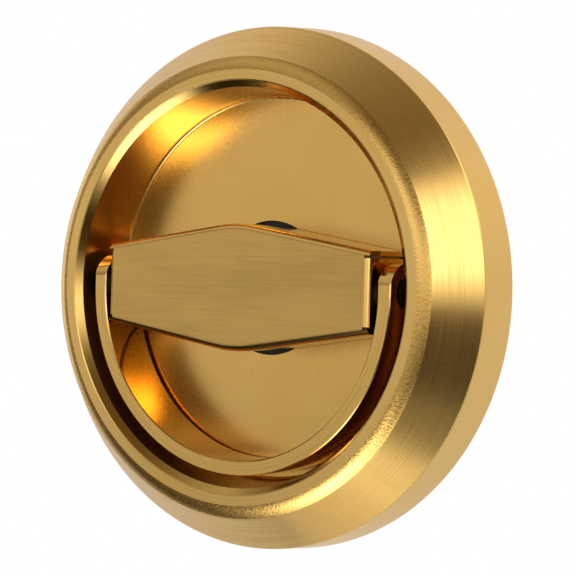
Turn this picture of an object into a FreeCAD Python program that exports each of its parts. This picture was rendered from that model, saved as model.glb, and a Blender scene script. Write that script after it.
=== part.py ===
import FreeCAD, Part
import math
import os

# Recessed ring pull for a door lock: a round cup rose with a bridge across the cup.
# A ring folds out of the cup on two pivot screws in the bridge's ends, and turning it
# turns the bridge, its hub and the square spindle that works the latch in the door.
# +X is right, +Z is up and the front faces -Y. A height is measured from the door face
# towards the front, so height h lies at y = -h. The origin is where the spindle's axis
# crosses the door face.

V = FreeCAD.Vector

# Cup body, from its rim inwards and from its lip down
base_radius = 40.5
side_draft = 0.5
bevel_width = 5.1
bevel_rise = 6.25
shoulder_width = 1.9
shoulder_rise = 0.9
lip_width = 1.7
lip_chamfer_width = 1.0
lip_chamfer_drop = 0.95
cup_draft = 0.67
cup_depth = 10.25
floor_thickness = 1.1
floor_fillet = 0.5
edge_break = 0.12
side_wall = 1.6
cup_wall = 1.5
lip_thickness = 2.1
rib_count = 4
rib_thickness = 1.6
rib_clearance = 1.0

# Back plate, its screws and its bent tabs
plate_thickness = 1.4
plate_edge_gap = 0.2
plate_hole_clearance = 0.3
screw_count = 4
screw_radius = 1.45
screw_hole_clearance = 0.15
pilot_clearance = 0.05
pilot_depth = 6.5
screw_length = 6.5
screw_head_overhang = 1.3
screw_head_depth = 1.25
screw_recess_width = 0.6
screw_recess_depth = 0.9
boss_radius = 3.0
tab_width = 2.4
tab_root = 3.0
tab_relief = 0.7
bend_inner_radius = 0.4
stop_tab_length = 6.5
spring_tab_length = 4.9

# Fixing posts
post_spacing = 38.0
post_wall = 1.9
post_length = 18.0
post_chamfer = 0.6
post_thread_radius = 2.1
post_spigot_radius = 2.5
post_rivet_overhang = 0.7
post_rivet_height = 1.0
post_hole_clearance = 0.05

# Hub journal, its bush and what holds it
journal_radius = 7.45
journal_clearance = 0.05
bush_wall = 2.8
bush_seat_clearance = 0.1
bush_flange_width = 1.2
bush_flange_thickness = 1.2
bush_sink = 0.85
thrust_rim = 1.85
thrust_clearance = 0.05
tail_length = 11.0
tail_flat_depth = 0.85
washer_bore_clearance = 0.15
washer_width = 2.2
washer_thickness = 0.5
clip_thickness = 0.85
clip_width = 2.0
clip_groove_depth = 0.5
clip_gap_deg = 34.0
clip_ear_radius = 1.35
clip_ear_hole = 0.5

# Drive plate and return spring
turn_limit_deg = 50.0
stop_clearance = 0.15
drive_rim = 1.75
drive_thickness = 1.0
drive_depth = 5.2
drive_bore_clearance = 0.05
drive_lug_width = 2.4
drive_lug_gap = 0.3
finger_reach = 1.2
spring_wire_radius = 0.45
spring_bore_clearance = 0.65
spring_pitch = 1.1
spring_turns = 2
spring_sections = 24
spring_depth = 2.3
spring_bend_radius = 0.9
spring_leg_clearance = 0.05
spring_leg_overhang = 0.3

# Spindle
spindle_side = 8.0
spindle_clearance = 0.05
spindle_chamfer = 0.6
spindle_reach = 45.0
spindle_depth = 8.8
spindle_pin_radius = 1.0
spindle_pin_clearance = 0.03
spindle_pin_length = 13.6
spindle_pin_depth = 9.2

# Bridge cover, folded from one sheet
bridge_arm_gap = 1.15
bridge_slope = 0.158
bridge_peak = 9.93
bridge_peak_radius = 24.0
bridge_sheet = 0.8
bridge_bend_radius = 1.0
bridge_sink = 0.45
bridge_floor_gap = 0.4
ear_gap = 0.4
ear_slot_margin = 0.1

# Bridge core
core_fit = 0.05
core_base_gap = 0.05
core_wall = 1.4
core_front_wall = 1.5
core_centre_half = 10.5
core_end_wall = 5.0

# Pull ring and its pivots
ring_wall_gap = 1.18
ring_thickness = 2.2
ring_sink = 1.05
ring_floor_gap = 0.6
ring_drop = 0.6
ring_end_radius = 4.38
ring_edge_break = 0.15
shoulder_radius = 1.5
shoulder_clearance = 0.05
pivot_thread_step = 0.3
pivot_head_overhang = 0.6
pivot_head_height = 0.8
pivot_head_sink = 0.5
pivot_head_clearance = 0.35
pivot_slot_width = 0.5
pivot_slot_depth = 0.4
pivot_end_play = 0.05
pivot_washer_width = 0.5
pivot_washer_play = 0.15

# Sizes that follow from the ones above
rim_radius = base_radius - side_draft
bevel_top_radius = rim_radius - bevel_width
lip_outer_radius = bevel_top_radius - shoulder_width
lip_inner_radius = lip_outer_radius - lip_width
bore_edge_radius = lip_inner_radius - lip_chamfer_width
cup_floor_radius = bore_edge_radius - cup_draft
floor_back = plate_thickness + bush_flange_thickness + thrust_clearance
cup_floor_height = floor_back + floor_thickness
body_height = cup_floor_height + cup_depth
bevel_top_height = body_height - shoulder_rise
rim_height = bevel_top_height - bevel_rise
bore_edge_height = body_height - lip_chamfer_drop
plate_radius = base_radius - side_wall - plate_edge_gap
boss_circle = (cup_floor_radius + cup_wall + base_radius - side_wall) / 2
screw_head_radius = screw_radius + screw_head_overhang
post_radius = post_thread_radius + post_wall
post_rivet_radius = post_spigot_radius + post_rivet_overhang
bush_bore = journal_radius + journal_clearance
bush_radius = bush_bore + bush_wall
floor_hole_radius = bush_radius + bush_seat_clearance
tab_inner_radius = bush_radius + plate_hole_clearance
tab_outer_radius = tab_inner_radius + plate_thickness
thrust_disc_radius = journal_radius + thrust_rim
washer_outer_radius = journal_radius + washer_bore_clearance + washer_width
tail_flat = journal_radius - tail_flat_depth
drive_disc_radius = journal_radius + drive_rim
bush_face = cup_floor_height - bush_sink
thrust_face = bush_face + thrust_clearance
bridge_base = cup_floor_height + bridge_floor_gap
core_base = bridge_base - core_base_gap
spring_radius = journal_radius + spring_bore_clearance + spring_wire_radius
lug_inner_radius = spring_radius + spring_wire_radius + drive_lug_gap
lug_outer_radius = lug_inner_radius + drive_thickness
clip_front_low = -(thrust_clearance + washer_thickness + thrust_clearance + clip_thickness)
clip_rear_low = -(drive_depth + drive_thickness + thrust_clearance + clip_thickness)
pivot_thread_radius = shoulder_radius - pivot_thread_step
pivot_head_radius = shoulder_radius + pivot_head_overhang
pivot_washer_radius = shoulder_radius + shoulder_clearance + pivot_washer_width
ring_back = cup_floor_height + ring_floor_gap
ring_front = body_height - ring_sink
pivot_height = ring_back + ring_end_radius
ring_outer_radius = cup_floor_radius - ring_wall_gap - ring_drop
ring_inner_radius = ring_outer_radius - ring_thickness
bridge_half_length = ring_inner_radius - bridge_arm_gap
bridge_front_height = body_height - bridge_sink
core_half_length = bridge_half_length - bridge_sheet - core_fit


def point(x, height, z):
    return V(x, -height, z)


def turned(profile):
    # Solid of revolution about the spindle's axis from (radius, height) corners
    corners = [point(radius, height, 0) for radius, height in profile]
    face = Part.Face(Part.makePolygon(corners + corners[:1]))
    return face.revolve(V(0, 0, 0), V(0, 1, 0), 360)


def disc(outer, low, high, inner=0.0):
    return turned([(inner, low), (outer, low), (outer, high), (inner, high)])


def rod(radius, low, high, x=0.0, z=0.0):
    # Cylinder along the spindle's axis between two heights
    return Part.makeCylinder(radius, high - low, point(x, high, z), V(0, 1, 0))


def cross_rod(radius, start, end, height, z=0.0):
    # Cylinder along X between two positions
    return Part.makeCylinder(radius, end - start, point(start, height, z), V(1, 0, 0))


def slab(x_low, x_high, low, high, z_low, z_high):
    size = (x_high - x_low, high - low, z_high - z_low)
    return Part.makeBox(*size, point(x_low, high, z_low))


def around(shape, angle):
    # Copy turned about the spindle's axis, from +X towards +Z
    copy = shape.copy()
    copy.rotate(V(0, 0, 0), V(0, -1, 0), angle)
    return copy


def mirrored(shape):
    # Copy on the other side of the YZ plane
    return shape.mirror(V(0, 0, 0), V(1, 0, 0))


def circle_edges(shape, radius, height):
    # The round edges of a turned solid that have this radius and height
    found = []
    for edge in shape.Edges:
        curve = edge.Curve
        if not isinstance(curve, Part.Circle):
            continue
        same_place = abs(curve.Center.y + height) < 1e-4 and abs(curve.Radius - radius) < 1e-4
        if same_place:
            found.append(edge)
    return found


def cup_body():
    # One casting: bevelled rose, flat lip and a deep round cup, hollow behind its walls
    corners = [
        (0, 0), (base_radius, 0), (rim_radius, rim_height), (bevel_top_radius, bevel_top_height),
        (lip_outer_radius, body_height), (lip_inner_radius, body_height),
        (bore_edge_radius, bore_edge_height), (cup_floor_radius, cup_floor_height),
        (0, cup_floor_height),
    ]
    outside = turned(corners)
    outside = outside.makeFillet(
        floor_fillet, circle_edges(outside, cup_floor_radius, cup_floor_height))
    for radius, height in (corners[2], corners[4], corners[5]):
        outside = outside.makeChamfer(edge_break, circle_edges(outside, radius, height))
    body = outside.cut(cavity())
    body = body.cut(disc(floor_hole_radius, 0, cup_floor_height))
    for index in range(screw_count):
        pilot = rod(screw_radius + pilot_clearance, 0, plate_thickness + pilot_depth, boss_circle)
        body = body.cut(around(pilot, screw_angle(index)))
    return body


def screw_angle(index):
    return 360 / screw_count * (index + 0.5)


def cavity():
    # Hollow behind the bevel and the cup, less the screw bosses and the stiffening ribs
    run = rim_radius - bevel_top_radius
    rise = bevel_top_height - rim_height
    length = math.hypot(run, rise)
    knee = (rim_radius - side_wall * rise / length, rim_height - side_wall * run / length)
    top = body_height - lip_thickness
    hollow = turned([
        (0, 0), (base_radius - side_wall, 0), knee,
        (knee[0] - (top - knee[1]) * run / rise, top),
        (bore_edge_radius + cup_wall, top), (cup_floor_radius + cup_wall, floor_back),
        (0, floor_back),
    ])
    for index in range(screw_count):
        boss = rod(boss_radius, plate_thickness, body_height, boss_circle)
        hollow = hollow.cut(around(boss, screw_angle(index)))
    for index in range(rib_count):
        rib = slab(cup_floor_radius, base_radius, plate_thickness + rib_clearance, body_height,
                   -rib_thickness / 2, rib_thickness / 2)
        hollow = hollow.cut(around(rib, 360 / rib_count * index))
    return hollow


def bent_tab(inner, thickness, bend_at, tip, width, root):
    # Strip of sheet along a radius, bent through a right angle. It lies flat from the root
    # to the bend, with one face at height bend_at, and its tip lies at height tip.
    # The tab turns to the side where the tip is. A root inside the tab bends at its outside.
    way = 1 if tip > bend_at else -1
    flat_near = bend_at
    flat_far = bend_at - way * thickness
    outward = 1 if root > inner else -1
    near = inner + thickness if outward > 0 else inner
    far = inner if outward > 0 else inner + thickness
    bend_outer = bend_inner_radius + thickness
    half = math.sqrt(0.5)
    inside_centre = (near + outward * bend_inner_radius, flat_near + way * bend_inner_radius)
    arcs = []
    for radius in (bend_inner_radius, bend_outer):
        arcs.append([
            (inside_centre[0], inside_centre[1] - way * radius),
            (inside_centre[0] - outward * radius * half, inside_centre[1] - way * radius * half),
            (inside_centre[0] - outward * radius, inside_centre[1]),
        ])

    def spot(pair):
        return point(pair[0], pair[1], -width / 2)

    inner_arc = Part.Arc(*[spot(pair) for pair in arcs[0]]).toShape()
    outer_arc = Part.Arc(*[spot(pair) for pair in arcs[1]]).toShape()
    edges = [
        Part.makeLine(spot((root, flat_near)), spot(arcs[0][0])), inner_arc,
        Part.makeLine(spot(arcs[0][2]), spot((near, tip))),
        Part.makeLine(spot((near, tip)), spot((far, tip))),
        Part.makeLine(spot((far, tip)), spot(arcs[1][2])), outer_arc,
        Part.makeLine(spot(arcs[1][0]), spot((root, flat_far))),
        Part.makeLine(spot((root, flat_far)), spot((root, flat_near))),
    ]
    face = Part.Face(Part.Wire(Part.__sortEdges__(edges)))
    return face.extrude(V(0, 0, width))


def stop_angle():
    # Angle from the finger at rest to a stop tab's middle
    contact_radius = tab_inner_radius
    half_widths = math.asin(tab_width / 2 / contact_radius)
    half_widths += math.asin(drive_lug_width / 2 / contact_radius)
    return turn_limit_deg + math.degrees(half_widths + stop_clearance / contact_radius)


def tab_angles():
    # Spring tab at the top and a stop tab on each side of the finger at the bottom
    return [(90, spring_tab_length), (-90 - stop_angle(), stop_tab_length),
            (-90 + stop_angle(), stop_tab_length)]


def back_plate():
    # Round steel plate in the back of the rose, with three tabs bent back around its hole
    plate = disc(plate_radius, 0, plate_thickness, tab_inner_radius)
    relief_end = tab_outer_radius + bend_inner_radius + tab_relief / 2
    for angle, length in tab_angles():
        relief = slab(0, relief_end, 0, plate_thickness,
                      -tab_width / 2 - tab_relief, tab_width / 2 + tab_relief)
        plate = plate.cut(around(relief, angle))
    for angle, length in tab_angles():
        tab = bent_tab(tab_inner_radius, plate_thickness, 0, -length, tab_width,
                       relief_end + tab_root)
        plate = plate.fuse(around(tab, angle))
    for index in range(screw_count):
        cone_radius = screw_head_radius + screw_hole_clearance
        hole_radius = screw_radius + screw_hole_clearance
        sink = Part.makeCone(cone_radius, hole_radius, screw_head_depth,
                             point(boss_circle, 0, 0), V(0, -1, 0))
        hole = sink.fuse(rod(hole_radius, 0, plate_thickness, boss_circle))
        plate = plate.cut(around(hole, screw_angle(index)))
    for side in (-1, 1):
        hole = rod(post_spigot_radius + post_hole_clearance, 0, plate_thickness,
                   side * post_spacing / 2)
        plate = plate.cut(hole)
    return plate.removeSplitter()


def plate_screws():
    # Countersunk cross-head screws that hold the plate on the bosses
    head = Part.makeCone(screw_head_radius, screw_radius, screw_head_depth,
                         point(0, 0, 0), V(0, -1, 0))
    screw = head.fuse(rod(screw_radius, 0, screw_length))
    reach = screw_head_radius
    for turn in (0, 90):
        slot = slab(-reach * 0.6, reach * 0.6, 0, screw_recess_depth,
                    -screw_recess_width / 2, screw_recess_width / 2)
        screw = screw.cut(around(slot, turn))
    screws = []
    for index in range(screw_count):
        copy = screw.copy()
        copy.translate(V(boss_circle, 0, 0))
        screws.append(around(copy, screw_angle(index)))
    return Part.makeCompound(screws)


def hub_bush():
    # Flanged nylon bush, held between the cup's floor and the back plate
    flange_radius = bush_radius + bush_flange_width
    flange_top = plate_thickness + bush_flange_thickness
    return turned([
        (bush_bore, 0), (bush_radius, 0), (bush_radius, plate_thickness),
        (flange_radius, plate_thickness), (flange_radius, flange_top),
        (bush_radius, flange_top), (bush_radius, bush_face), (bush_bore, bush_face),
    ])


def fixing_post(side):
    # Tapped post riveted in the back plate, for a screw from the far side of the door
    place = side * post_spacing / 2
    post = rod(post_radius, -post_length, 0)
    rims = circle_edges(post, post_radius, -post_length)
    post = post.makeChamfer(post_chamfer, rims)
    post = post.fuse(rod(post_spigot_radius, 0, plate_thickness))
    rivet_top = plate_thickness + post_rivet_height
    rivet = rod(post_rivet_radius, plate_thickness, rivet_top)
    rivet = rivet.makeChamfer(post_rivet_height / 2,
                              circle_edges(rivet, post_rivet_radius, rivet_top))
    post = post.fuse(rivet).cut(rod(post_thread_radius, -post_length, 0))
    post.translate(V(place, 0, 0))
    return post


def bridge_outline(inset, low, high):
    # Six-sided outline of the bridge with rounded peaks, moved in by an inset all round
    lean = math.atan(bridge_slope)
    half_length = bridge_half_length - inset
    peak = bridge_peak - inset / math.cos(lean)
    radius = bridge_peak_radius - inset
    end = peak - bridge_slope * half_length
    tangent_x = radius * math.sin(lean)
    tangent_z = peak - bridge_slope * tangent_x
    crown = peak - radius * (1 / math.cos(lean) - 1)

    def spot(x, z):
        return point(x, low, z)

    edges = []
    for side in (1, -1):
        edges += [
            Part.makeLine(spot(-side * half_length, side * end),
                          spot(-side * tangent_x, side * tangent_z)),
            Part.Arc(spot(-side * tangent_x, side * tangent_z), spot(0, side * crown),
                     spot(side * tangent_x, side * tangent_z)).toShape(),
            Part.makeLine(spot(side * tangent_x, side * tangent_z),
                          spot(side * half_length, side * end)),
            Part.makeLine(spot(side * half_length, side * end),
                          spot(side * half_length, -side * end)),
        ]
    face = Part.Face(Part.Wire(edges))
    return face.extrude(V(0, low - high, 0))


def bridge_end_half(inset):
    # Half the bridge's height at its ends, for the outline with this inset
    lean = math.atan(bridge_slope)
    peak = bridge_peak - inset / math.cos(lean)
    return peak - bridge_slope * (bridge_half_length - inset)


def bridge_cover():
    # One sheet: face and two peaked flanges cut square at both ends, and an ear bent back
    # between them at each end, with a relief slot on both sides of it
    block = bridge_outline(0, bridge_base, bridge_front_height)
    front = [edge for edge in block.Edges
             if edge.BoundBox.YMax < -bridge_front_height + 1e-4]
    end_edges = [edge for edge in front if edge.BoundBox.XLength < 1e-4]
    long_edges = [edge for edge in front if edge.BoundBox.XLength > 1e-4]
    ear_top = bridge_end_half(bridge_sheet) - ear_gap
    ear_band = slab(-base_radius, base_radius, bridge_base - 1, body_height, -ear_top, ear_top)
    flanged = block.makeFillet(bridge_bend_radius, long_edges).cut(ear_band)
    eared = block.makeFillet(bridge_bend_radius, end_edges).common(ear_band)
    cover = flanged.fuse(eared)
    cover = cover.cut(bridge_outline(bridge_sheet, bridge_base - 1,
                                     bridge_front_height - bridge_sheet))
    slot_end = bridge_half_length - bridge_sheet - ear_slot_margin
    for side in (-1, 1):
        for up in (-1, 1):
            x_ends = sorted((side * slot_end, side * base_radius))
            z_ends = sorted((up * ear_top, up * (ear_top + ear_gap)))
            cover = cover.cut(slab(*x_ends, bridge_base - 1, body_height, *z_ends))
    hole_radius = shoulder_radius + shoulder_clearance
    cover = cover.cut(cross_rod(hole_radius, -base_radius, base_radius, pivot_height))
    return cover.removeSplitter()


def bridge_core():
    # Cast core that fills the cover, with the hub journal and the spindle's square socket
    inset = bridge_sheet + core_fit
    front = bridge_front_height - bridge_sheet
    core = bridge_outline(inset, core_base, front)
    pocket = bridge_outline(inset + core_wall, core_base, front - core_front_wall)
    pocket_end = core_half_length - core_end_wall
    for side in (-1, 1):
        x_ends = sorted((side * core_centre_half, side * pocket_end))
        window = slab(*x_ends, core_base, front, -base_radius, base_radius)
        core = core.cut(pocket.common(window))
    core = core.fuse(disc(thrust_disc_radius, thrust_face, core_base))
    core = core.fuse(hub_tail())
    half = spindle_side / 2 + spindle_clearance
    core = core.cut(slab(-half, half, -tail_length, spindle_depth + spindle_clearance,
                         -half, half))
    for low in (clip_front_low, clip_rear_low):
        groove = disc(journal_radius + 1, low, low + clip_thickness + thrust_clearance / 2,
                      journal_radius - clip_groove_depth)
        core = core.cut(groove)
    pin_hole = cross_rod(spindle_pin_radius + spindle_pin_clearance, -base_radius, base_radius,
                         -spindle_pin_depth)
    core = core.cut(pin_hole)
    thread = cross_rod(pivot_thread_radius + pilot_clearance, pocket_end, base_radius,
                       pivot_height)
    return core.cut(thread).cut(mirrored(thread)).removeSplitter()


def hub_tail():
    # Round journal through the bush, flattened on two sides where the drive plate sits
    tail = rod(journal_radius, -tail_length, thrust_face)
    for up in (-1, 1):
        z_ends = sorted((up * tail_flat, up * base_radius))
        tail = tail.cut(slab(-base_radius, base_radius, -tail_length, -drive_depth, *z_ends))
    return tail


def thrust_washer():
    return disc(washer_outer_radius, -thrust_clearance - washer_thickness, -thrust_clearance,
                journal_radius + washer_bore_clearance)


def circlip(low):
    # Snap ring with two drilled ears beside its gap, which faces down
    inner = journal_radius - clip_groove_depth + 0.05
    outer = inner + clip_width
    high = low + clip_thickness
    ring = disc(outer, low, high, inner)
    reach = outer + clip_ear_radius
    half_gap = math.radians(clip_gap_deg / 2)
    wedge = [point(0, low, 0), point(-reach * math.tan(half_gap), low, -reach),
             point(reach * math.tan(half_gap), low, -reach)]
    gap = Part.Face(Part.makePolygon(wedge + wedge[:1])).extrude(V(0, low - high, 0))
    ring = ring.cut(gap)
    ear_circle = (inner + outer) / 2
    for side in (-1, 1):
        angle = math.radians(-90) + side * (half_gap + clip_ear_radius / ear_circle * 0.75)
        x = ear_circle * math.cos(angle)
        z = ear_circle * math.sin(angle)
        ear = rod(clip_ear_radius, low, high, x, z).cut(disc(inner, low, high))
        ring = ring.fuse(ear).cut(rod(clip_ear_hole, low, high, x, z))
    return ring


def drive_plate():
    # Steel plate on the hub's flats: a lug bent forward between the spring's legs, and a
    # finger that meets the back plate's stop tabs at each end of the turn
    low = -drive_depth - drive_thickness
    plate = disc(drive_disc_radius, low, -drive_depth)
    lug = bent_tab(lug_inner_radius, drive_thickness, -drive_depth,
                   -spring_depth + spring_wire_radius, drive_lug_width, journal_radius)
    plate = plate.fuse(around(lug, 90))
    finger = slab(journal_radius, tab_inner_radius + finger_reach, low, -drive_depth,
                  -drive_lug_width / 2, drive_lug_width / 2)
    plate = plate.fuse(around(finger, -90))
    bore_radius = journal_radius + drive_bore_clearance
    flat = tail_flat + drive_bore_clearance
    bore = rod(bore_radius, low, -drive_depth)
    bore = bore.common(slab(-bore_radius, bore_radius, low, -drive_depth, -flat, flat))
    return plate.cut(bore).removeSplitter()


def coil_place(angle, depth):
    across = math.radians(angle)
    return point(spring_radius * math.cos(across), -depth, spring_radius * math.sin(across))


def coil_heading(angle):
    # Direction of the wire as it winds clockwise and away from the front
    across = math.radians(angle)
    climb = spring_pitch / (2 * math.pi * spring_radius)
    return V(math.sin(across), climb, -math.cos(across)).normalize()


def wire_section(centre, heading):
    return Part.Wire(Part.makeCircle(spring_wire_radius, centre, heading))


def spring_leg(start, heading, leg_end):
    # Round bend from the coil's end up to a straight leg
    up = V(0, 0, 1)
    angle = heading.getAngle(up)
    inward = (up - heading * heading.dot(up)).normalize()
    bend = Part.Face(wire_section(start, heading)).revolve(
        start + inward * spring_bend_radius, heading.cross(up).normalize(), math.degrees(angle))
    foot = start + heading * (spring_bend_radius * math.sin(angle))
    foot += inward * (spring_bend_radius * (1 - math.cos(angle)))
    return bend.fuse(Part.makeCylinder(spring_wire_radius, leg_end - foot.z, foot, up))


def return_spring():
    # Torsion spring round the hub: its two legs lie on both sides of the tab and the lug
    leg_side = tab_width / 2 + spring_wire_radius + spring_leg_clearance
    leg_end = tab_outer_radius + spring_leg_overhang
    lean = math.degrees(math.asin((leg_side + spring_bend_radius)
                                  / (spring_radius + spring_bend_radius)))
    sweep = 360 * spring_turns - 2 * lean
    rings = []
    for index in range(spring_sections + 1):
        share = index / spring_sections
        angle = 90 - lean - sweep * share
        centre = coil_place(angle, spring_depth + spring_pitch * sweep * share / 360)
        rings.append((centre, coil_heading(angle)))
    spring = Part.makeLoft([wire_section(*ring) for ring in rings], True, False)
    for (centre, heading), way in ((rings[0], -1), (rings[-1], 1)):
        spring = spring.fuse(spring_leg(centre, heading * way, leg_end))
    return spring.Solids[0]


def spindle():
    # Square steel bar through the door, with its long edges broken
    half = spindle_side / 2
    bar = slab(-half, half, -spindle_reach, spindle_depth, -half, half)
    long_edges = [edge for edge in bar.Edges
                  if abs(edge.BoundBox.YLength - spindle_reach - spindle_depth) < 1e-3]
    bar = bar.makeChamfer(spindle_chamfer, long_edges)
    hole_radius = spindle_pin_radius + spindle_pin_clearance
    return bar.cut(cross_rod(hole_radius, -spindle_side, spindle_side, -spindle_pin_depth))


def spindle_pin():
    half = spindle_pin_length / 2
    return cross_rod(spindle_pin_radius, -half, half, -spindle_pin_depth)


def pivot_washer(side):
    # Spacer between the bridge's ear and the ring's arm
    start = bridge_half_length + pivot_end_play
    end = ring_inner_radius - pivot_washer_play
    washer = cross_rod(pivot_washer_radius, start, end, pivot_height)
    washer = washer.cut(cross_rod(shoulder_radius + shoulder_clearance, start, end,
                                  pivot_height))
    return washer if side > 0 else mirrored(washer)


def pivot_screw(side):
    # Shoulder screw through the ring's arm and the ear into the core, with a slotted head
    head_start = ring_outer_radius - pivot_head_sink + pivot_end_play
    head_end = head_start + pivot_head_height
    thread_start = core_half_length - core_end_wall + pivot_end_play
    screw = cross_rod(pivot_thread_radius, thread_start, core_half_length, pivot_height)
    screw = screw.fuse(cross_rod(shoulder_radius, core_half_length, head_start, pivot_height))
    screw = screw.fuse(cross_rod(pivot_head_radius, head_start, head_end, pivot_height))
    slot = slab(head_end - pivot_slot_depth, head_end + 1,
                pivot_height - pivot_slot_width / 2, pivot_height + pivot_slot_width / 2,
                -pivot_head_radius, pivot_head_radius)
    screw = screw.cut(slot)
    return screw if side > 0 else mirrored(screw)


def pull_ring():
    # Flat band bent to a half ring, its two arms ending in half rounds about the pivots
    centre = -ring_drop
    outer = ring_outer_radius
    inner = ring_inner_radius
    top = ring_end_radius

    def spot(x, z):
        return point(x, ring_back, z)

    edges = [
        Part.makeLine(spot(inner, top), spot(outer, top)),
        Part.makeLine(spot(outer, top), spot(outer, centre)),
        Part.Arc(spot(outer, centre), spot(0, centre - outer), spot(-outer, centre)).toShape(),
        Part.makeLine(spot(-outer, centre), spot(-outer, top)),
        Part.makeLine(spot(-outer, top), spot(-inner, top)),
        Part.makeLine(spot(-inner, top), spot(-inner, centre)),
        Part.Arc(spot(-inner, centre), spot(0, centre - inner), spot(inner, centre)).toShape(),
        Part.makeLine(spot(inner, centre), spot(inner, top)),
    ]
    band = Part.Face(Part.Wire(edges)).extrude(V(0, ring_back - ring_front, 0))
    long_edges = [edge for edge in band.Edges
                  if edge.BoundBox.YLength < 1e-4 and edge.BoundBox.ZMin < top - 1e-4]
    band = band.makeChamfer(ring_edge_break, long_edges)
    ends = slab(-outer - 1, outer + 1, ring_back - 1, ring_front + 1, 0, top + 1)
    ends = ends.cut(cross_rod(ring_end_radius, -outer - 1, outer + 1, pivot_height))
    band = band.cut(ends)
    band = band.cut(cross_rod(shoulder_radius + shoulder_clearance, -outer, outer,
                              pivot_height))
    sink = cross_rod(pivot_head_radius + pivot_head_clearance, outer - pivot_head_sink,
                     outer + 1, pivot_height)
    return band.cut(sink).cut(mirrored(sink))


def build():
    pieces = {
        "cup_body": cup_body(),
        "back_plate": back_plate(),
        "plate_screws": plate_screws(),
        "hub_bush": hub_bush(),
        "return_spring": return_spring(),
        "bridge_cover": bridge_cover(),
        "bridge_core": bridge_core(),
        "thrust_washer": thrust_washer(),
        "circlip_front": circlip(clip_front_low),
        "circlip_rear": circlip(clip_rear_low),
        "drive_plate": drive_plate(),
        "spindle": spindle(),
        "spindle_pin": spindle_pin(),
        "pull_ring": pull_ring(),
    }
    for name, side in (("left", -1), ("right", 1)):
        pieces["fixing_post_" + name] = fixing_post(side)
        pieces["pivot_screw_" + name] = pivot_screw(side)
        pieces["pivot_washer_" + name] = pivot_washer(side)
    return pieces


os.makedirs("parts", exist_ok=True)
for name, shape in build().items():
    shape.exportStep("parts/" + name + ".step")
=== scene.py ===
import math

import bpy
from mathutils import Matrix, Vector


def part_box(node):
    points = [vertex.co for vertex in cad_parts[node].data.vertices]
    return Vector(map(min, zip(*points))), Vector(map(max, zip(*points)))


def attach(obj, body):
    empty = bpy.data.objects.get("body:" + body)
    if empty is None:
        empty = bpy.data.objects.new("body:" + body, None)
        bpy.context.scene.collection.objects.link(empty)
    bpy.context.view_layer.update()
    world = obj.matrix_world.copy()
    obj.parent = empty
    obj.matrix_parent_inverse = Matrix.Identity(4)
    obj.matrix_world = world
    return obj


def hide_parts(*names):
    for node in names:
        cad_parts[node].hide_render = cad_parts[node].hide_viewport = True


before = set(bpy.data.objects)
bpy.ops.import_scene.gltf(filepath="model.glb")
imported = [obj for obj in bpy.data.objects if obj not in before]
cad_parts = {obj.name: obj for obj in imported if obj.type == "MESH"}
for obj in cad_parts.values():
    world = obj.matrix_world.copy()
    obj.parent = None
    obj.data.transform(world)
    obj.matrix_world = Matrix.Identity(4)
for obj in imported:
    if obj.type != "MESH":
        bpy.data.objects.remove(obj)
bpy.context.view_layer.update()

# A recessed ring pull for a door: a round cup rose, a folded bridge across the cup and a
# ring that swings out of it. The CAD's frame is kept: +X right, +Z up, the front faces -Y.


# Cup body
# One brass casting under a thin gold coating. Its rim, bevel and lip are turned and keep the
# tool's fine rings, the shoulder between them stays grainy, and the cup is polished inside.

# Lengths are in millimetres in the whole file, and Blender gets them times MM
MM = 0.001
RIM_RADIUS = 40.0
BEVEL_TOP_RADIUS = 34.9
BEVEL_TOP_HEIGHT = 13.1
LIP_OUTER_RADIUS = 33.0
LIP_INNER_RADIUS = 31.3
BORE_EDGE_RADIUS = 30.3
CUP_FLOOR_HEIGHT = 3.75
EDGE_BREAK = 0.12
SHOULDER_LEAN_IN = math.radians(12)
SHOULDER_LEAN_OUT = math.radians(38)

# The mesh has a seam on +X: its corners lie this near to it, with normals this little off it
SEAM_WIDTH = 0.012
SEAM_TILT = 0.06

# A face's normal tells surfaces that meet apart: the outside points outward more than this,
# the side wall points to the front less, and the bore's edge and the cup's floor more
OUTSIDE_OUTWARD = 0.1
SIDE_FRONTWARD = 0.2
BORE_EDGE_FRONTWARD = 0.3
FLOOR_FRONTWARD = 0.9

GOLD = (0.84, 0.535, 0.155, 1.0)
GOLD_DEEP = (0.77, 0.45, 0.10, 1.0)
GOLD_PALE = (0.88, 0.60, 0.22, 1.0)
PIT_BROWN = (0.30, 0.19, 0.07, 1.0)
BARE_BRASS_DARK = (0.34, 0.27, 0.15, 1.0)
BARE_BRASS_PALE = (0.52, 0.43, 0.25, 1.0)
LACQUER = {"Coat Weight": 0.10, "Coat Roughness": 0.20}
QUARTER_TURN = 0.25

# Marks are counted in noise cells, and a depth is that of the whole relief
RINGS_PER_MM = 2.2
RING_CHANGES_PER_TURN = 9.0
CHATTER_PER_MM = 0.12
CHATTER_PER_TURN = 600.0
MOTTLE_PER_MM = 0.07
TURNING_DEPTH = 0.012
SHOULDER_GRAINS_PER_MM = 3.2
SHOULDER_GRAIN_DEPTH = 0.035
SHOULDER_ROUGHNESS = (0.20, 0.36)
WAVES_PER_MM = 0.10
HAZE_PER_MM = 1.6
PITS_PER_MM = 1.1
POLISH_DEPTH = 0.010
CASTING_GRAINS_PER_MM = 1.4
CASTING_GRAIN_DEPTH = 0.06
CASTING_ROUGHNESS = (0.45, 0.65)


def math_node(operation, reflected=False):
    # An operator of Signal that adds one Math node
    def apply(self, other):
        values = (other, self) if reflected else (self, other)
        return self.node("Math", {"operation": operation}, dict(enumerate(values)))
    return apply


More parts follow.
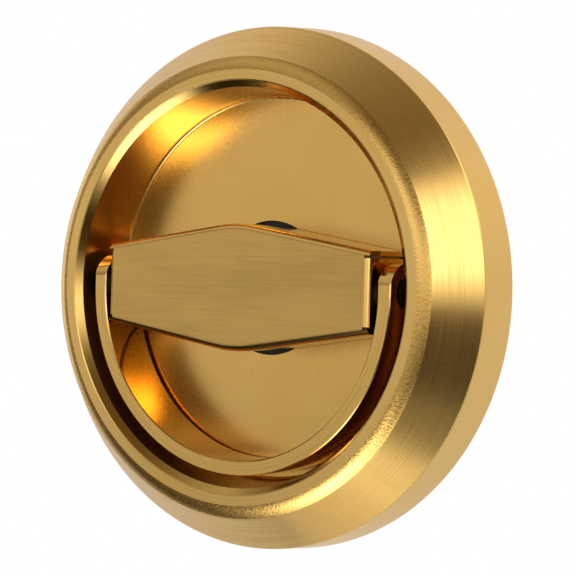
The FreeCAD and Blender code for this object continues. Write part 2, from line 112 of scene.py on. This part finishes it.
class Signal:
    """A value, vector or colour in a material; arithmetic on values adds Math nodes."""

    __add__ = math_node("ADD")
    __radd__ = math_node("ADD", reflected=True)
    __sub__ = math_node("SUBTRACT")
    __rsub__ = math_node("SUBTRACT", reflected=True)
    __mul__ = math_node("MULTIPLY")
    __rmul__ = math_node("MULTIPLY", reflected=True)
    __truediv__ = math_node("DIVIDE")
    __rtruediv__ = math_node("DIVIDE", reflected=True)
    __pow__ = math_node("POWER")
    __rpow__ = math_node("POWER", reflected=True)
    __gt__ = math_node("GREATER_THAN")
    __lt__ = math_node("LESS_THAN")

    def __init__(self, tree, socket=None):
        self.tree = tree
        self.socket = socket

    def __abs__(self):
        return self.node("Math", {"operation": "ABSOLUTE"}, {0: self})

    def node(self, kind, settings, sockets, output=0):
        # Adds a node: first its settings, then the values or links of its sockets
        made = self.tree.nodes.new("ShaderNode" + kind)
        for name, value in settings.items():
            setattr(made, name, value)
        for key, value in sockets.items():
            if isinstance(value, Signal):
                self.tree.links.new(value.socket, made.inputs[key])
            else:
                made.inputs[key].default_value = value
        return Signal(self.tree, made.outputs[output] if made.outputs else None)


def new_material(name):
    # An empty material and the place on the piece, in millimetres
    material = bpy.data.materials.new(name)
    material.use_nodes = True
    material.node_tree.nodes.clear()
    start = Signal(material.node_tree)
    place = start.node("TexCoord", {}, {}, "Object")
    place = place.node("VectorMath", {"operation": "SCALE"}, {"Vector": place, "Scale": 1 / MM})
    return material, place


def part_of(vector, axis):
    # The vector's "X", "Y" or "Z"
    return vector.node("SeparateXYZ", {}, {0: vector}, axis)


def vector_of(x, y, z):
    # A vector from three values, of which at least the first is a Signal
    return x.node("CombineXYZ", {}, {0: x, 1: y, 2: z})


def noise(vector, cells=1.0, detail=2.0, roughness=0.5):
    # Noise from 0 to 1 with this many cells to each unit of the vector
    sockets = {"Vector": vector, "Scale": cells, "Detail": detail, "Roughness": roughness}
    return vector.node("TexNoise", {}, sockets)


def stretch(value, low, high):
    # 0 up to low, 1 from high on, and a smooth rise between them
    sockets = {"Value": value, "From Min": low, "From Max": high}
    return value.node("MapRange", {"interpolation_type": "SMOOTHSTEP"}, sockets)


def between(value, low, high):
    # A noise moved to this range
    return low + value * (high - low)


def swing(value, amount):
    # A noise moved to swing evenly about zero
    return (value - 0.5) * amount


def blend(share, first, second):
    # A Mix node has its two colours at inputs 6 and 7 and the mixed one at output 2
    sockets = {0: share, 6: first, 7: second}
    return share.node("Mix", {"data_type": "RGBA"}, sockets, 2)


def finish(material, colour, roughness, relief, relief_depth, **fixed):
    # Metal, unless fixed says otherwise; the relief is 0 to 1 and its depth in millimetres
    bump = relief.node("Bump", {}, {"Height": relief, "Distance": relief_depth * MM})
    sockets = {"Base Color": colour, "Roughness": roughness, "Metallic": 1.0, "Normal": bump}
    sockets.update(fixed)
    surface = relief.node("BsdfPrincipled", {}, sockets)
    relief.node("OutputMaterial", {}, {"Surface": surface})
    return material


def across_grooves(spread):
    # The lacquer, with highlights that spread out across the grooves
    return {**LACQUER, "Anisotropic": spread, "Anisotropic Rotation": QUARTER_TURN}


def circling(place, cells_per_mm, cells_per_turn):
    # Noise drawn out along circles round Z, as a lathe or a wheel leaves it
    x, y, z = (part_of(place, axis) for axis in "XYZ")
    radius = (x * x + y * y) ** 0.5
    reach = cells_per_turn / math.tau
    winding = vector_of(x / radius * reach, y / radius * reach, (radius - z) * cells_per_mm)
    return noise(winding, detail=3.0, roughness=0.6)


def turned_gold(name, roughness, lines, spread):
    # Gold coating over fine turned rings, with faint chatter marks that cross them
    material, place = new_material(name)
    rings = circling(place, RINGS_PER_MM, RING_CHANGES_PER_TURN)
    chatter = circling(place, CHATTER_PER_MM, CHATTER_PER_TURN)
    mottle = noise(place, MOTTLE_PER_MM)
    tone = blend(stretch(mottle, 0.3, 0.7) * 0.4, GOLD, GOLD_PALE)
    tone = blend(stretch(rings, 0.4, 0.65) * lines, tone, GOLD_DEEP)
    rough = roughness + swing(rings, 0.16) + swing(chatter, 0.04)
    relief = rings * 0.9 + chatter * 0.1
    return finish(material, tone, rough, relief, TURNING_DEPTH, **across_grooves(spread))


def grained_gold(name):
    # The shoulder's cast grain: small pits and grains that sparkle
    material, place = new_material(name)
    grain = noise(place, SHOULDER_GRAINS_PER_MM, detail=3.0, roughness=0.6)
    tone = blend(stretch(grain, 0.35, 0.65) * 0.6, GOLD_DEEP, GOLD_PALE)
    rough = between(grain, *SHOULDER_ROUGHNESS)
    return finish(material, tone, rough, grain, SHOULDER_GRAIN_DEPTH, **LACQUER)


def polished_gold(name, roughness):
    # Polished coat with a slight waviness, a soft haze and a few tiny pits
    material, place = new_material(name)
    waves = noise(place, WAVES_PER_MM, detail=1.0)
    haze = noise(place, HAZE_PER_MM, detail=4.0, roughness=0.6)
    pits = stretch(noise(place, PITS_PER_MM, detail=1.0), 0.80, 0.84)
    tone = blend(stretch(waves, 0.3, 0.7) * 0.3, GOLD, GOLD_DEEP)
    tone = blend(pits * 0.5, tone, PIT_BROWN)
    rough = roughness + swing(haze, 0.04) + pits * 0.2
    relief = waves * 0.5 + haze * 0.02
    return finish(material, tone, rough, relief, POLISH_DEPTH, **LACQUER)


def bare_casting(name):
    # The hollow behind the bevel stays as cast: dull, slightly rough brass
    material, place = new_material(name)
    grain = noise(place, CASTING_GRAINS_PER_MM, detail=4.0, roughness=0.6)
    tone = blend(grain, BARE_BRASS_DARK, BARE_BRASS_PALE)
    rough = between(grain, *CASTING_ROUGHNESS)
    return finish(material, tone, rough, grain, CASTING_GRAIN_DEPTH)


def cup_zone(centre, normal):
    # Which finish a face of the cup body has, from its place in the lathe's axes
    radius = math.hypot(centre.x, centre.y) / MM
    height = centre.z / MM
    outward = (centre.x * normal.x + centre.y * normal.y) / max(radius * MM, MM)
    if height > BEVEL_TOP_HEIGHT - 2 * EDGE_BREAK and radius > LIP_OUTER_RADIUS - EDGE_BREAK:
        return "shoulder" if radius < BEVEL_TOP_RADIUS + EDGE_BREAK else "bevel"
    if radius > BEVEL_TOP_RADIUS - EDGE_BREAK and outward > OUTSIDE_OUTWARD:
        on_side = radius > RIM_RADIUS - EDGE_BREAK and normal.z < SIDE_FRONTWARD
        return "side" if on_side else "bevel"
    if height > CUP_FLOOR_HEIGHT - EDGE_BREAK and radius < LIP_OUTER_RADIUS:
        if radius > LIP_INNER_RADIUS - EDGE_BREAK:
            return "lip"
        if radius > BORE_EDGE_RADIUS - EDGE_BREAK and normal.z > BORE_EDGE_FRONTWARD:
            return "bore_edge"
        return "cup_floor" if normal.z > FLOOR_FRONTWARD else "cup_wall"
    return "hollow"


def on_lathe_axes(node_name, piece_name):
    # A copy of a node's mesh in axes whose Z is the cup's axis, with its texture space centred
    # there, so that the grooves and the highlights across them follow circles
    lathe_axes = Matrix.Rotation(math.radians(90), 4, "X")
    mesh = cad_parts[node_name].data.copy()
    mesh.name = piece_name
    mesh.transform(lathe_axes.inverted())
    mesh.use_auto_texspace = False
    mesh.texspace_location = (0, 0, 0)
    mesh.texspace_size = (max(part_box(node_name)[1]),) * 3
    piece = bpy.data.objects.new(piece_name, mesh)
    bpy.context.scene.collection.objects.link(piece)
    piece.matrix_world = lathe_axes
    return piece


def shade_round(mesh):
    # Changes the normals for shading, and no shape: even across the mesh's seam on +X, and
    # leaning outward more and more over the shoulder, as on a slightly rounded face
    normals = [corner.vector.copy() for corner in mesh.corner_normals]
    for face in mesh.polygons:
        on_shoulder = cup_zone(face.center, face.normal) == "shoulder"
        for corner in face.loop_indices:
            spot = mesh.vertices[mesh.loops[corner].vertex_index].co
            normal = normals[corner]
            on_seam = spot.x > 0 and abs(spot.y) < SEAM_WIDTH * MM
            if on_shoulder:
                radius = math.hypot(spot.x, spot.y)
                share = (radius / MM - LIP_OUTER_RADIUS) / (BEVEL_TOP_RADIUS - LIP_OUTER_RADIUS)
                lean = SHOULDER_LEAN_IN + (SHOULDER_LEAN_OUT - SHOULDER_LEAN_IN) * share
                outward = math.sin(lean) / radius
                normals[corner] = Vector((spot.x * outward, spot.y * outward, math.cos(lean)))
            elif on_seam and abs(normal.y) < SEAM_TILT:
                normals[corner] = Vector((normal.x, 0, normal.z)).normalized()
    mesh.normals_split_custom_set(normals)


cup_finishes = {
    "side": turned_gold("gold_side", roughness=0.30, lines=0.15, spread=0.4),
    "bevel": turned_gold("gold_bevel", roughness=0.25, lines=0.45, spread=0.8),
    "shoulder": grained_gold("gold_shoulder"),
    "lip": turned_gold("gold_lip", roughness=0.28, lines=0.2, spread=0.4),
    "bore_edge": polished_gold("gold_bore_edge", roughness=0.14),
    "cup_wall": polished_gold("gold_cup_wall", roughness=0.24),
    "cup_floor": polished_gold("gold_cup_floor", roughness=0.27),
    "hollow": bare_casting("gold_hollow"),
}
cup = on_lathe_axes("cup_body", "cup_rose")
cup.data.materials.clear()
for zone_finish in cup_finishes.values():
    cup.data.materials.append(zone_finish)
zone_order = list(cup_finishes)
for face in cup.data.polygons:
    face.material_index = zone_order.index(cup_zone(face.center, face.normal))
shade_round(cup.data)
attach(cup, "rose")
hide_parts("cup_body")


# Bridge cover
# Folded from one 0.8 mm sheet. Its face is brushed along its length and its rounded bends,
# flanges and end ears are polished, all under the same gold coating.

BRIDGE_GOLD = (0.77, 0.495, 0.145, 1.0)
BRIDGE_DARK = (0.55, 0.33, 0.08, 1.0)
BRIDGE_STROKES_PER_MM = (0.10, 0.5, 5.0)
BRIDGE_STAINS_PER_MM = (0.05, 0.05, 0.16)
BRIDGE_BRUSHING_DEPTH = 0.008
BRIDGE_BRUSHING_SPREAD = 0.5
BRIDGE_POLISHED_ROUGHNESS = 0.12
BRIDGE_BRUSHED_ROUGHNESS = 0.30
BRIDGE_FLAT_FROM = 0.93
TO_FRONT = (0.0, -1.0, 0.0)


def clothe(material, *node_names):
    # Nodes of the model that keep their own shape get this finish
    for node_name in node_names:
        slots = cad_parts[node_name].data.materials
        slots.clear()
        slots.append(material)


def along(vector, axis):
    # How far a vector reaches along an axis
    sockets = {0: vector, 1: axis}
    return vector.node("VectorMath", {"operation": "DOT_PRODUCT"}, sockets, "Value")


def drawn_out(place, cells_per_mm):
    # The place with its own number of noise cells per millimetre along X, Y and Z
    return place.node("VectorMath", {"operation": "MULTIPLY"}, {0: place, 1: cells_per_mm})


def brushed_front(name):
    # Brushing drawn out along X on the front face, fading out at the bends
    material, place = new_material(name)
    strokes = noise(drawn_out(place, BRIDGE_STROKES_PER_MM), detail=4.0, roughness=0.65)
    stains = noise(drawn_out(place, BRIDGE_STAINS_PER_MM), detail=3.0)
    facing = along(place.node("NewGeometry", {}, {}, "Normal"), TO_FRONT)
    flat = stretch(facing, BRIDGE_FLAT_FROM, 1.0)
    wear = stretch(strokes, 0.35, 0.75) * 0.35 + stretch(stains, 0.4, 0.65) * 0.35
    tone = blend(flat, GOLD, blend(wear, BRIDGE_GOLD, BRIDGE_DARK))
    rough = between(flat, BRIDGE_POLISHED_ROUGHNESS, BRIDGE_BRUSHED_ROUGHNESS)
    rough = rough + flat * swing(strokes, 0.12)
    return finish(material, tone, rough, strokes * flat, BRIDGE_BRUSHING_DEPTH,
                  **across_grooves(BRIDGE_BRUSHING_SPREAD))


clothe(brushed_front("gold_bridge"), "bridge_cover")


# Pull ring
# A flat brass band bent to a half ring. Its edges, front and back, are brushed along the arc,
# its broad faces are polished, and it turns on the two pivot screws.

RING_ARC_DROP = 0.6
RING_STROKES_PER_MM = 7.0
RING_STROKES_PER_TURN = 2.0 * math.tau
RING_HAZE_PER_MM = 1.2
RING_BRUSHING_DEPTH = 0.004
RING_POLISHED_ROUGHNESS = 0.10
RING_BRUSHED_ROUGHNESS = 0.24


def brushed_band(name):
    # Brushing drawn out round the arc's centre on the band's front and back edges
    material, place = new_material(name)
    arc_place = vector_of(part_of(place, "X"), part_of(place, "Z") + RING_ARC_DROP, 0.0)
    strokes = circling(arc_place, RING_STROKES_PER_MM, RING_STROKES_PER_TURN)
    haze = noise(place, RING_HAZE_PER_MM, detail=3.0)
    facing = along(place.node("NewGeometry", {}, {}, "Normal"), TO_FRONT)
    flat = stretch(abs(facing), 0.8, 0.98)
    tone = blend(stretch(strokes, 0.3, 0.8) * flat * 0.6, GOLD, BRIDGE_DARK)
    rough = between(flat, RING_POLISHED_ROUGHNESS, RING_BRUSHED_ROUGHNESS)
    rough = rough + flat * swing(strokes, 0.12) + swing(haze, 0.04)
    relief = strokes * flat + haze * 0.1
    return finish(material, tone, rough, relief, RING_BRUSHING_DEPTH, **LACQUER)


clothe(brushed_band("gold_ring"), "pull_ring")


# Pivot screws
# Two blackened steel shoulder screws: each passes through an arm of the ring and an ear of
# the bridge and is screwed into the core.

BLACKENED_STEEL = (0.020, 0.017, 0.015, 1.0)
BLACKENED_WORN = (0.09, 0.075, 0.06, 1.0)
SCREW_WEAR_PER_MM = 1.8
SCREW_WEAR_DEPTH = 0.01
SCREW_ROUGHNESS = (0.30, 0.50)


def blackened(name):
    material, place = new_material(name)
    wear = noise(place, SCREW_WEAR_PER_MM, detail=4.0, roughness=0.6)
    tone = blend(stretch(wear, 0.45, 0.8), BLACKENED_STEEL, BLACKENED_WORN)
    return finish(material, tone, between(wear, *SCREW_ROUGHNESS), wear, SCREW_WEAR_DEPTH)


clothe(blackened("black_screw"), "pivot_screw_left", "pivot_screw_right")


# Nylon pieces
# The flanged bush that the hub turns in and the two spacers beside the ring's arms, moulded
# in black nylon with a soft, slightly uneven sheen.

NYLON_BLACK = (0.012, 0.012, 0.013, 1.0)
NYLON_GREY = (0.030, 0.029, 0.028, 1.0)
NYLON_SKIN_PER_MM = 3.0
NYLON_SKIN_DEPTH = 0.01
NYLON_ROUGHNESS = (0.42, 0.62)


def moulded_nylon(name):
    material, place = new_material(name)
    skin = noise(place, NYLON_SKIN_PER_MM, detail=3.0, roughness=0.6)
    tone = blend(skin, NYLON_BLACK, NYLON_GREY)
    rough = between(skin, *NYLON_ROUGHNESS)
    return finish(material, tone, rough, skin, NYLON_SKIN_DEPTH, Metallic=0.0)


clothe(moulded_nylon("nylon_black"), "hub_bush", "pivot_washer_left", "pivot_washer_right")


# Bridge core
# A zinc casting inside the cover with the hub journal and the spindle's socket, left as cast
# where it shows.

ZINC_DARK = (0.30, 0.30, 0.30, 1.0)
ZINC_PALE = (0.50, 0.50, 0.49, 1.0)
ZINC_GRAINS_PER_MM = 1.6
ZINC_GRAIN_DEPTH = 0.05
ZINC_ROUGHNESS = (0.42, 0.62)


def as_cast(name):
    material, place = new_material(name)
    grain = noise(place, ZINC_GRAINS_PER_MM, detail=5.0, roughness=0.6)
    tone = blend(grain, ZINC_DARK, ZINC_PALE)
    return finish(material, tone, between(grain, *ZINC_ROUGHNESS), grain, ZINC_GRAIN_DEPTH)


clothe(as_cast("zinc_cast"), "bridge_core")


# Plated steel pieces
# The back plate, its countersunk screws, the riveted posts, the drive plate and the square
# spindle are steel, zinc plated after they are made.

PLATING_BLUE = (0.54, 0.55, 0.57, 1.0)
PLATING_WARM = (0.68, 0.67, 0.62, 1.0)
SPANGLES_PER_MM = 0.5
SCRATCHES_PER_MM = 4.0
PLATING_DEPTH = 0.012
PLATING_ROUGHNESS = (0.26, 0.42)


def zinc_plated(name):
    material, place = new_material(name)
    spangle = noise(place, SPANGLES_PER_MM, detail=4.0, roughness=0.6)
    scratch = noise(place, SCRATCHES_PER_MM)
    tone = blend(stretch(spangle, 0.3, 0.7), PLATING_BLUE, PLATING_WARM)
    relief = spangle * 0.6 + scratch * 0.2
    return finish(material, tone, between(spangle, *PLATING_ROUGHNESS), relief, PLATING_DEPTH)


clothe(zinc_plated("steel_plated"), "back_plate", "plate_screws", "fixing_post_left",
       "fixing_post_right", "drive_plate", "spindle")


# Spring steel pieces
# The torsion spring, the two snap rings, the thrust washer and the spindle's pin: hardened
# steel with an oiled dark finish.

OILED_DARK = (0.14, 0.13, 0.12, 1.0)
OILED_PALE = (0.27, 0.25, 0.22, 1.0)
OIL_FILM_PER_MM = 0.9
OIL_FILM_DEPTH = 0.008
OILED_ROUGHNESS = (0.28, 0.46)


def oiled_steel(name):
    material, place = new_material(name)
    film = noise(place, OIL_FILM_PER_MM, detail=4.0, roughness=0.6)
    tone = blend(stretch(film, 0.3, 0.7), OILED_DARK, OILED_PALE)
    return finish(material, tone, between(film, *OILED_ROUGHNESS), film, OIL_FILM_DEPTH)


clothe(oiled_steel("steel_oiled"), "return_spring", "circlip_front", "circlip_rear",
       "thrust_washer", "spindle_pin")


# Studio
# A pale floor well below the handle, a white backdrop and soft light from panels that the
# gold mirrors. Angles are in degrees: azimuth from the front to the right, then elevation.

FLOOR_DROP = 450.0
FLOOR_RADIUS = 140.0
FLOOR_SIDES = 96
FLOOR_GREY = (0.84, 0.84, 0.83, 1.0)
FLOOR_PALE = (0.88, 0.88, 0.87, 1.0)
FLOOR_PATCHES_PER_MM = 0.02
FLOOR_PATCH_DEPTH = 0.02
FLOOR_ROUGHNESS = 0.8
PANELS = {
    # azimuth, elevation, width, height, strength
    "window behind on the right": (108, 36, 26, 30, 1.8),
    "strip on the left": (-94, 4, 18, 36, 0.9),
    "small panel on the left": (-60, 4, 14, 14, 0.8),
    "tall panel on the right": (66, 19, 26, 36, 2.8),
    "long panel right of the front": (30, 7, 62, 22, 1.2),
    "strip in front": (-4, 14, 14, 18, 2.0),
    "high panel on the left": (-46, 44, 50, 34, 0.45),
    "fill left of the front": (-33, 2, 50, 28, 0.62),
    "flash low in front": (-11, -41, 14, 16, 12.0),
    "low panel on the right": (44, -44, 32, 14, 0.5),
    "low panel in front": (8, -61, 42, 24, 3.4),
}

# A panel's edge is soft over this tangent to either side, and directions that point to the
# panel by less than the second value don't see it
PANEL_EDGE = 0.20
BARELY_FACING = 0.02

# The backdrop stands behind the handle: its light starts in directions whose Y is the first
# value and is full from the second on
BACKDROP_FROM = -0.10
BACKDROP_FULL = 0.25
BACKDROP_STRENGTH = 0.70

# The room adds a faint warm light, strongest from straight above
ROOM_STRENGTH = 0.15
ROOM_TINT = (1.0, 0.68, 0.32, 1.0)
WHITE = (1.0, 1.0, 1.0, 1.0)


def softbox(direction, azimuth, elevation, width, height):
    # How much of a rectangular panel with soft edges lies in a direction
    turn = math.radians(azimuth)
    tilt = math.radians(elevation)
    aim = Vector((math.sin(turn) * math.cos(tilt), -math.cos(turn) * math.cos(tilt),
                  math.sin(tilt)))
    across = Vector((math.cos(turn), math.sin(turn), 0.0))
    facing = along(direction, aim)
    seen = facing > BARELY_FACING
    for axis, reach in ((across, width), (across.cross(aim), height)):
        offset = abs(along(direction, axis) / facing)
        edge = math.tan(math.radians(reach / 2))
        seen = seen * (1 - stretch(offset, edge - PANEL_EDGE, edge + PANEL_EDGE))
    return seen


bpy.ops.mesh.primitive_circle_add(vertices=FLOOR_SIDES, radius=FLOOR_RADIUS * MM,
                                  fill_type="NGON", location=(0, 0, -FLOOR_DROP * MM))
floor = bpy.context.object
floor.name = "floor"
paint, floor_place = new_material("floor_paint")
patches = noise(floor_place, FLOOR_PATCHES_PER_MM, detail=3.0)
finish(paint, blend(patches, FLOOR_GREY, FLOOR_PALE), FLOOR_ROUGHNESS, patches,
       FLOOR_PATCH_DEPTH, Metallic=0.0)
floor.data.materials.append(paint)

world = bpy.data.worlds.new("studio")
bpy.context.scene.world = world
world.use_nodes = True
world.node_tree.nodes.clear()
sky = Signal(world.node_tree)
direction = sky.node("TexCoord", {}, {}, "Generated")
light = stretch(part_of(direction, "Y"), BACKDROP_FROM, BACKDROP_FULL) * BACKDROP_STRENGTH
for azimuth, elevation, width, height, strength in PANELS.values():
    light = softbox(direction, azimuth, elevation, width, height) * strength + light
lamps = sky.node("Background", {}, {"Color": WHITE, "Strength": light})
room_light = (1 + part_of(direction, "Z")) * (ROOM_STRENGTH / 2)
room = sky.node("Background", {}, {"Color": ROOM_TINT, "Strength": room_light})
lit = sky.node("AddShader", {}, {0: lamps, 1: room})
white = sky.node("Background", {}, {"Color": WHITE, "Strength": 1.0})
to_camera = sky.node("LightPath", {}, {}, "Is Camera Ray")
surround = sky.node("MixShader", {}, {0: to_camera, 1: lit, 2: white})
sky.node("OutputWorld", {}, {"Surface": surround})


# Camera
# A long lens looks at the handle from the right, level with it, and the camera is tipped to
# one side by a degree or two.

CAMERA_PLACE = (184.433, -257.175, 4.475)
CAMERA_TURN = [math.radians(angle) for angle in (89.1895, -1.6675, 35.5816)]
CAMERA_LENS = 126.635
CAMERA_SENSOR = 36.0
CAMERA_NEAREST = 10.0
CAMERA_FARTHEST = 20000.0

camera = bpy.data.objects.new("camera", bpy.data.cameras.new("camera"))
bpy.context.scene.collection.objects.link(camera)
camera.location = [distance * MM for distance in CAMERA_PLACE]
camera.rotation_euler = CAMERA_TURN
camera.data.sensor_width = CAMERA_SENSOR
camera.data.lens = CAMERA_LENS
camera.data.clip_start = CAMERA_NEAREST * MM
camera.data.clip_end = CAMERA_FARTHEST * MM
bpy.context.scene.camera = camera
bpy.context.scene.view_settings.view_transform = "Standard"
bpy.context.scene.view_settings.look = "None"
